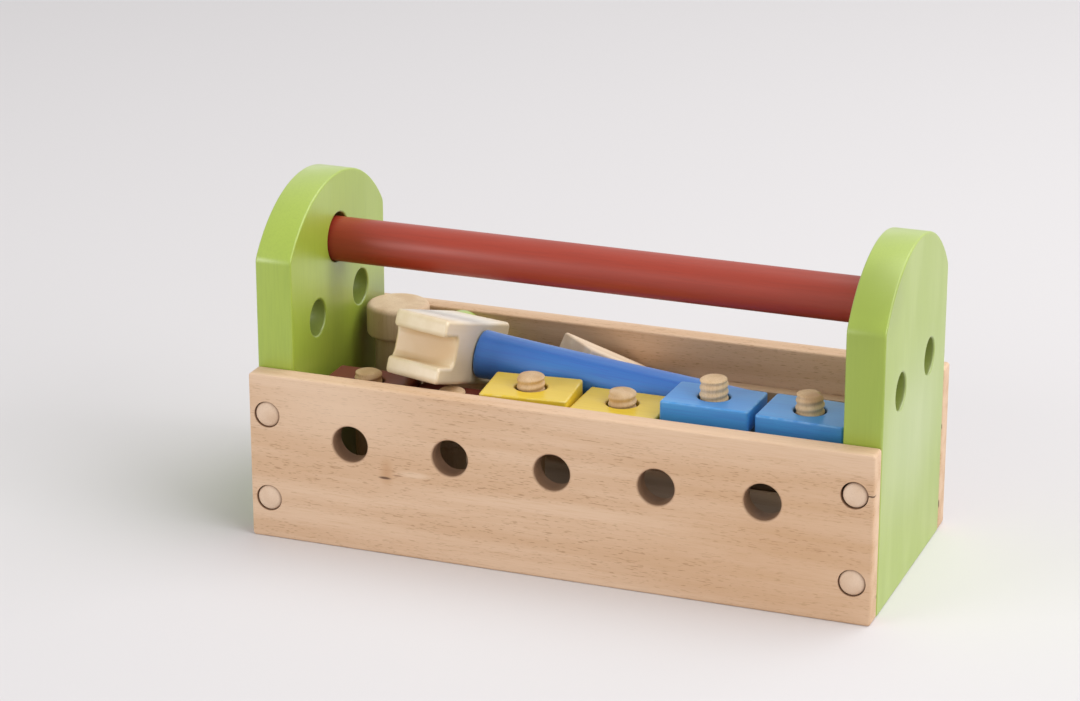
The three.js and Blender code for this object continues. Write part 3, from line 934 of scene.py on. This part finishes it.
@dataclass
class CarryingBar:
    """The loose round bar between the end panels."""

    easing: float = 1.0

    def build(self) -> None:
        """Makes the bar: a turned rod with eased ends, lacquered red."""
        bar = Extent.of("carrying_bar")
        skin = rod(bar.size[2] / 2, 0, bar.size[0], self.easing, 96)
        skin = skin.placed([Y, Z, X], (bar.low[0], bar.middle[1], bar.middle[2]))
        add_piece("carrying_bar", skin, RED.material(Fibre.ALONG_X.value))


@dataclass
class FastenerPair:
    """A four-sided nut on a turned wooden bolt that stands on its slotted head."""

    name: str
    lacquer: Lacquer
    turn: float = 0.0  # of the nut on its bolt, in degrees
    tilt: float = 0.0  # of the nut's front edge upwards, in degrees
    chipped: bool = False
    nut_width: float = 36.07
    nut_depth: float = 27.0
    nut_thickness: float = 9.2
    nut_corner: float = 1.3
    nut_easing: float = 0.8
    bore_radius: float = 6.45
    around: int = 64  # points in a ring of the bolt
    thread_radius: float = 6.1
    thread_depth: float = 0.5
    thread_pitch: float = 3.0
    thread_rings: int = 16  # in one turn
    thread_taper: float = 0.5
    thread_length: float = 26.0
    thread_lead: float = 0.2  # from the plain shank to its first ring
    tip_easing: float = 1.2
    tip_crown: float = 0.25  # how far the middle of the tip stands up
    crown_reach: float = 2.0  # length over which the tip is lowered by as much
    crown_rings: int = 6
    head_radius: float = 13.0
    head_height: float = 9.0
    head_easing: float = 1.5
    neck_round: float = 0.8
    slot_width: float = 3.0
    slot_depth: float = 3.0
    slot_overrun: float = 4.0  # of its cutter beyond both sides of the head
    slot_corner: float = 0.2
    slot_easing: float = 0.1
    slot_band: float = 0.05
    chip_depth: float = 1.5
    chip_length: float = 4.2  # from the tip down, of which chip_fade is its slope
    chip_fade: float = 3.2
    chip_turn: float = 0.5  # where round the tip it lies, in radians
    chip_spread: float = 0.55
    chip_ripple: Triple = (0.35, 9.0, 2.1)  # share of its depth, and phase per radian and per millimetre
    shade_height: float = 36.0  # of the darkest part of the painted shade on the shank

    def build(self) -> None:
        """Makes the nut and its bolt."""
        self.build_nut()
        self.build_bolt()

    def build_nut(self) -> None:
        """Makes the nut: a four-sided plate with a plain bore, turned and tilted on its bolt."""
        corners = rectangle(self.nut_width, self.nut_depth)
        bore = Hole(0, 0, self.bore_radius)
        plate = Plate(corners, self.nut_corner, self.nut_thickness, self.nut_easing, (bore,))
        turn, tilt = math.radians(self.turn), math.radians(self.tilt)
        spin = Matrix.Rotation(turn, 3, "Z") @ Matrix.Rotation(-tilt, 3, "X")
        skin = plate.skin().placed(np.array(spin).T, Extent.of(f"{self.name}_nut").middle)
        add_piece(f"{self.name}_nut", skin, self.lacquer.material(Fibre.ALONG_X.value))

    def thread(self, along: np.ndarray, angle: np.ndarray, length: float) -> np.ndarray:
        """Works out the radius of the threaded part.

        It is the core's radius plus the thread's depth times a rounded wave of the number of turns,
        which is the height over the pitch less the angle's share of a full turn. The wave grows over
        the first turn, and the whole tapers. The tip is rounded over by a quarter circle, and a
        chipped tip also loses a rippled wedge on one side.

        Args:
            along: a column of heights over the bolt's foot.
            angle: a row of angles.
            length: the bolt's length.

        Returns:
            The radius at each height and angle.
        """
        above = along - length + self.thread_length
        turns = along / self.thread_pitch - angle / (2 * math.pi)
        wave = (0.5 + 0.5 * np.cos(2 * math.pi * turns)) * np.clip(above / self.thread_pitch, 0, 1)
        core = self.thread_radius - self.thread_depth
        radius = core + self.thread_depth * wave - self.thread_taper * above / self.thread_length
        over = np.clip((along - length + self.tip_easing) / self.tip_easing, 0, 1)
        radius = radius - self.tip_easing * (1 - np.sqrt(1 - over**2))
        if self.chipped:
            side = np.exp(-(((angle - self.chip_turn) / self.chip_spread) ** 2))
            wedge = side * np.clip((along - length + self.chip_length) / self.chip_fade, 0, 1)
            share, turning, rising = self.chip_ripple
            ripple = 1 + share * np.sin(turning * angle + rising * along)
            radius = radius - self.chip_depth * wedge * ripple
        return radius

    def build_bolt(self) -> None:
        """Makes the bolt: a turned head with a slot cut in it, the threaded part and a crowned tip."""
        bolt = Extent.of(f"{self.name}_bolt")
        x, y, foot = bolt.middle[0], bolt.middle[1], bolt.low[2]
        length = bolt.size[2]
        start = length - self.thread_length
        core = self.thread_radius - self.thread_depth
        wide, high = self.head_radius, self.head_height
        corners = [(0, 0), (wide, 0), (wide, high), (core, high), (core, start)]
        radii = [0, self.head_easing, self.head_easing, self.neck_round, 0]
        head = rounded_path(corners, radii, closed=False)
        angle = np.linspace(0, 2 * math.pi, self.around, endpoint=False)[None]
        along = np.arange(start + self.thread_lead, length, self.thread_pitch / self.thread_rings)[:, None]
        radius = self.thread(along, angle, length)
        inward = np.linspace(1, 0, self.crown_rings + 1)[1:, None]
        rings = np.concatenate([radius, radius[-1:] * inward])
        heights = np.concatenate([along, length + self.tip_crown * (1 - inward**2)])
        shank = np.stack([rings * np.cos(angle), rings * np.sin(angle), heights + 0 * angle], axis=2)
        points = np.concatenate([turned_skin(head, self.around).points, shank.reshape(-1, 3)])
        points[:, 2] -= self.tip_crown * np.clip((points[:, 2] - length) / self.crown_reach + 1, 0, 1)
        faces = ring_faces(len(head.points) + len(rings), self.around)
        skin = Skin(points, [faces], np.zeros(len(points))).placed([X, Y, Z], (x, y, foot))
        outline = rectangle(2 * self.head_radius + self.slot_overrun, self.slot_width)
        cutter = Plate(outline, self.slot_corner, 2 * self.slot_depth, self.slot_easing, band=self.slot_band)
        # painted shade on the shank, which shows dark through the holes
        marks = [Mark((x, y, self.shade_height), (18, 18, 22), PAINTED_SHADE, 0.45, 0.7)]
        if self.chipped:
            marks.append(Mark((x + 3, y - 3, bolt.high[2] - 1), (7, 7, 4), "#A87850", 0.6, 0.3))
        wood = BOLT_WOOD.material(Fibre.ALONG_Z.value, tuple(marks))
        add_piece(f"{self.name}_bolt", skin, wood, [cutter.skin().placed([X, Y, Z], (x, y, foot))])


@dataclass
class Hammer:
    """The hammer that lies across the box: a maple head with a slotted end and a blue turned handle."""

    joint: Triple = (-51.93, 0.0, 69.4)  # where the handle's axis meets the head
    droop: float = 5.1  # slope of the handle down towards its end, in degrees
    roll: float = 18.8  # of the slotted end upwards, in degrees
    head_back: float = 31.0
    head_front: float = 46.5
    head_skew: float = 12.4
    head_width: float = 26.6
    head_height: float = 26.0
    head_easing: float = 1.5
    back_round: float = 2.2
    front_rounds: tuple[float, float] = (2.6, 2.0)  # outer and inner
    slot_width: float = 12.1
    slot_floor: float = 29.9
    slot_round: float = 3.0
    tenon_radius: float = 6.0
    tenon_length: float = 20.0
    tenon_round: float = 0.6
    handle_length: float = 121.0
    handle_radius: float = 9.9
    handle_easing: float = 0.9
    shoulder: float = 4.0  # length of the straight part beside the head
    waist_radius: float = 9.4
    waist_start: float = 0.04  # share of the body's length
    waist_points: int = 24
    end_radius: float = 8.6
    end_round: float = 5.0
    end_points: int = 9
    play: float = 0.35
    head_gap: float = 0.3  # between the head and the handle's shoulder
    painted_shade_and_sheen: tuple[Mark, ...] = (  # painted shade in the groove, and a painted sheen on the top
        Mark((-65.2, -31.0, 81.1), (20, 9, 8.8), "#C49A5C", 0.6, 0.6),
        Mark((-52.1, 40.3, 212.7), (140, 140, 140), "#FBF7F2", 0.6, 0.965),
    )

    def __post_init__(self) -> None:
        """Works out the handle's own x, y and z: along the handle, to the head's back end, and upright."""
        droop, roll = math.radians(self.droop), math.radians(self.roll)
        spin = Matrix.Rotation(droop, 3, "Y") @ Matrix.Rotation(-roll, 3, "X")
        self.along, self.across, self.upright = np.array(spin).T

    def build(self) -> None:
        """Makes the head and the handle."""
        self.build_head()
        self.build_handle()

    def build_head(self) -> None:
        """Makes the head: a section with a slot at its front, carried along the handle's axis.

        The front slants back away from the handle: beyond the slot's floor, the distance from the
        floor shrinks in proportion as a point lies further from the handle's side.
        """
        half, slot = self.head_height / 2, self.slot_width / 2
        back, front, floor = -self.head_back, self.head_front, self.slot_floor
        under = ((back, -half), (front, -half), (front, -slot), (floor, -slot))
        corners = under + tuple((x, -y) for x, y in reversed(under))
        rounds = (self.back_round, *self.front_rounds, self.slot_round)
        socket = Hole(0, 0, self.tenon_radius + self.play, self.tenon_length + self.play)
        skin = Plate(corners, rounds + rounds[::-1], self.head_width, self.head_easing, (socket,)).skin()
        forward, depth = skin.points[:, 0], self.head_width / 2 - skin.points[:, 2]
        shrink = 1 - self.head_skew / (front - floor) * depth / self.head_width
        skin.points[:, 0] = np.where(forward > floor, floor + (forward - floor) * shrink, forward)
        origin = np.array(self.joint) - self.along * self.head_width / 2
        skin = skin.placed([-self.across, -self.upright, self.along], origin)
        add_piece("hammer_head", skin, MAPLE.material(tuple(self.across), self.painted_shade_and_sheen))

    def build_handle(self) -> None:
        """Makes the turned handle: tenon, shoulder, a slim waist and a round end.

        The body's radius runs straight from shoulder to end, less a sine wave that dies out towards
        the end and leaves the waist.
        """
        tenon, radius, gap, foot = self.tenon_radius, self.handle_radius, self.head_gap, -self.tenon_length
        corners = [(0, foot), (tenon, foot), (tenon, gap), (radius, gap), (radius, self.shoulder)]
        radii = [0, self.tenon_round, 0, self.handle_easing, 0]
        start = rounded_path(corners, radii, closed=False)
        body_end = self.handle_length - self.end_round
        share = np.linspace(self.waist_start, 1, self.waist_points)
        dip = np.sin(math.pi * share) * (radius - self.waist_radius) * (1 - share)
        body = np.column_stack([radius + (self.end_radius - radius) * share - dip, body_end * share])
        angle = np.linspace(0, math.pi / 2, self.end_points + 1)[1:]
        turn = self.end_round * np.stack([np.cos(angle), np.sin(angle)], axis=1)
        end = turn + (self.end_radius - self.end_round, body_end)
        points = np.concatenate([start.points, body, end, [(0, self.handle_length)]])
        rim = np.concatenate([start.rim, np.zeros(len(points) - len(start.rim))])
        skin = turned_skin(Path(points, points, rim))
        skin = skin.placed([self.across, self.upright, self.along], self.joint)
        add_piece("hammer_handle", skin, HANDLE_BLUE.material(tuple(self.along)))


@dataclass
class CappedPost:
    """The turned post with a wide cap that stands in the back left corner."""

    stem_radius: float = 9.9
    foot_easing: float = 0.8
    cap_height: float = 14.0
    cap_easing: float = 2.2
    neck_round: float = 0.5

    def build(self) -> None:
        """Makes the post: a stem under a cap with rounded rims."""
        post = Extent.of("capped_post")
        stem, radius, top = self.stem_radius, post.size[0] / 2, post.size[2]
        under = top - self.cap_height
        corners = [(0, 0), (stem, 0), (stem, under), (radius, under), (radius, top), (0, top)]
        radii = [0, self.foot_easing, self.neck_round, self.cap_easing, self.cap_easing, 0]
        skin = turned_skin(rounded_path(corners, radii, closed=False))
        skin = skin.placed([X, Y, Z], (post.middle[0], post.middle[1], post.low[2]))
        add_piece("capped_post", skin, PALE_WOOD.material(Fibre.ALONG_Z.value))


@dataclass
class LooseSlats:
    """The slat on its edge, the green strip with holes and the small slanted plank."""

    easing: float = 0.6
    corner: float = 1.0
    shade_half: tuple[float, float] = (5.0, 46.0)  # depth and height of the painted shade low on the slat
    strip_hole_radius: float = 6.8
    strip_hole_pitch: float = 26.0
    strip_half_width: float = 10.0
    plank_fibre: Triple = (0.79, 0.42, -0.45)
    plank_flatness: float = math.radians(2)  # faces that meet at less than this are joined up
    plank_edge: float = math.radians(25)  # edges that turn more than this are rounded
    plank_easing: float = 0.35

    def build(self) -> None:
        """Makes the slat, the strip and the plank."""
        self.build_slat()
        self.build_strip()
        self.build_plank()

    def build_slat(self) -> None:
        """Makes the slat that stands on its long edge."""
        slat = Extent.of("edge_slat")
        length, depth, height = slat.size
        plate = Plate(rectangle(length, height), self.corner, depth, self.easing)
        foot = (slat.middle[0], slat.low[1], slat.low[2])
        # painted shade low on the slat
        shade = Mark(foot, (1.5 * length, *self.shade_half), PAINTED_SHADE, 0.75, 0.35)
        wood = DULL_WOOD.material(Fibre.ALONG_X.value, (shade,))
        add_piece("edge_slat", plate.skin().placed([X, Z, -Y], slat.middle), wood)

    def build_strip(self) -> None:
        """Makes the round-ended strip between the middles of its two ends, which its box gives."""
        strip = Extent.of("green_strip")
        width = 2 * self.strip_half_width
        run = (strip.size - width) * (X - Z)
        straight = np.linalg.norm(run)
        along = run / straight
        holes = tuple(Hole(i * self.strip_hole_pitch, 0, self.strip_hole_radius) for i in (-1, 0, 1))
        outline = rectangle(straight + width, width)
        plate = Plate(outline, self.strip_half_width, strip.size[1], self.easing, holes)
        skin = plate.skin().placed([along, np.cross(Y, along) * -1, -Y], strip.middle)
        add_piece("green_strip", skin, GREEN.material(tuple(along)))

    def build_plank(self) -> None:
        """Makes the plank from a copy of its solid: flat faces joined up, then all edges rounded."""
        solid = frame["nodes"]["slanted_plank"].data
        points = np.empty(len(solid.vertices) * 3, np.float32)
        solid.vertices.foreach_get("co", points)
        faces = [np.array([tuple(face.vertices)]) for face in solid.polygons]
        skin = Skin(points.reshape(-1, 3) / MM, faces, np.zeros(len(solid.vertices)))
        piece = add_piece("slanted_plank", skin, LIGHT_WOOD.material(self.plank_fibre))
        work = bmesh.new()
        work.from_mesh(piece.data)
        bmesh.ops.dissolve_limit(work, angle_limit=self.plank_flatness, verts=work.verts, edges=work.edges)
        work.to_mesh(piece.data)
        work.free()
        bevel = piece.modifiers.new("rounded_edges", "BEVEL")
        bevel.width = self.plank_easing * MM
        bevel.segments = 3
        bevel.angle_limit = self.plank_edge


# Studio


@dataclass(frozen=True)
class Softbox:
    """A soft area lamp: its place and the middle it looks at in metres, its size and its power."""

    name: str
    place: Triple
    size: tuple[float, float]
    watts: float
    aim: Triple = (0.0, 0.0, 0.07)

    def build(self) -> None:
        """Adds the lamp."""
        light = bpy.data.lights.new(self.name, "AREA")
        light.shape = "RECTANGLE"
        light.size, light.size_y = self.size
        light.energy = self.watts
        lamp = linked(self.name, light)
        lamp.location = self.place
        lamp.rotation_euler = (Vector(self.aim) - Vector(self.place)).to_track_quat("-Z", "Y").to_euler()


@dataclass
class Studio:
    """The camera, a plain pale floor, a white surround and soft lamps."""

    camera_place: Triple = (430.9, -1198.6, 532.2)
    camera_heading: float = 0.36425  # from +Y towards -X, in radians
    camera_pitch: float = -0.34318
    camera_roll: float = -0.00098
    focal_pixels: float = 3364.1
    image_width: float = 1080.0
    sensor_width: float = 36.0
    floor_half: float = 6.0  # metres
    floor_colour: str = "#DDDADB"
    surround: float = 0.38
    lamps: tuple[Softbox, ...] = (
        Softbox("overhead_softbox", (0.8, 0.5, 1.9), (2.2, 2.0), 35.5),
        Softbox("right_softbox", (2.4, -0.6, 1.3), (2.2, 1.6), 33.0),
        Softbox("front_softbox", (-1.9, -2.0, 0.75), (1.8, 1.2), 32.5),
    )

    def build(self) -> None:
        """Sets up the camera, the floor, the surround and the lamps."""
        self.build_camera()
        self.build_floor()
        self.build_surround()
        for lamp in self.lamps:
            lamp.build()
        bpy.context.scene.view_settings.view_transform = "Standard"

    def build_camera(self) -> None:
        """Places the camera at the view that was solved from the photograph's corners and holes."""
        data = bpy.data.cameras.new("camera")
        data.sensor_fit = "HORIZONTAL"
        data.sensor_width = self.sensor_width
        data.lens = self.focal_pixels / self.image_width * self.sensor_width
        camera = linked("camera", data)
        heading = Matrix.Rotation(self.camera_heading, 4, "Z")
        pitch = Matrix.Rotation(math.pi / 2 + self.camera_pitch, 4, "X")
        roll = Matrix.Rotation(self.camera_roll, 4, "Z")
        camera.matrix_world = Matrix.Translation(Vector(self.camera_place) * MM) @ heading @ pitch @ roll
        bpy.context.scene.camera = camera

    def build_floor(self) -> None:
        """Lays the matt floor that the box stands on."""
        corners = rectangle(2 * self.floor_half, 2 * self.floor_half)
        mesh = bpy.data.meshes.new("floor")
        mesh.from_pydata([(x, y, 0) for x, y in corners], [], [(0, 1, 2, 3)])
        floor = linked("floor", mesh)
        material = bpy.data.materials.new("pale_matt_paper")
        tree = empty_tree(material)
        shader = add_node(tree, "ShaderNodeBsdfDiffuse", {"Color": linear(self.floor_colour)})
        add_node(tree, "ShaderNodeOutputMaterial", {"Surface": shader.outputs[0]})
        mesh.materials.append(material)

    def build_surround(self) -> None:
        """Makes the surround an even white, and dimmer where it only lights the object."""
        world = bpy.data.worlds.new("white_surround")
        tree = empty_tree(world)
        rays = add_node(tree, "ShaderNodeLightPath").outputs
        either = {0: rays["Is Camera Ray"], 1: rays["Is Glossy Ray"]}
        seen = add_node(tree, "ShaderNodeMath", either, operation="MAXIMUM").outputs[0]
        strength = add_node(tree, "ShaderNodeMapRange", {"Value": seen, "To Min": self.surround}).outputs[0]
        light = add_node(tree, "ShaderNodeBackground", {"Color": (1, 1, 1, 1), "Strength": strength})
        add_node(tree, "ShaderNodeOutputWorld", {"Surface": light.outputs[0]})
        bpy.context.scene.world = world


def main() -> None:
    """Builds the studio and the tool box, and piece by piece."""
    logging.basicConfig(level=logging.INFO, format="%(name)s: %(message)s")
    parts = (
        Studio(),
        PeggedBox(),
        CarryingBar(),
        FastenerPair("red_left", SHADED_NUT_RED),
        FastenerPair("red_right", SHADED_NUT_RED),
        FastenerPair("yellow_left", YELLOW, turn=5.6),
        FastenerPair("yellow_right", YELLOW),
        FastenerPair("blue_left", BLUE, tilt=2.0),
        FastenerPair("blue_right", BLUE, turn=-2.1, chipped=True),
        Hammer(),
        CappedPost(),
        LooseSlats(),
    )
    for part in parts:
        part.build()


if __name__ == "__main__":
    main()
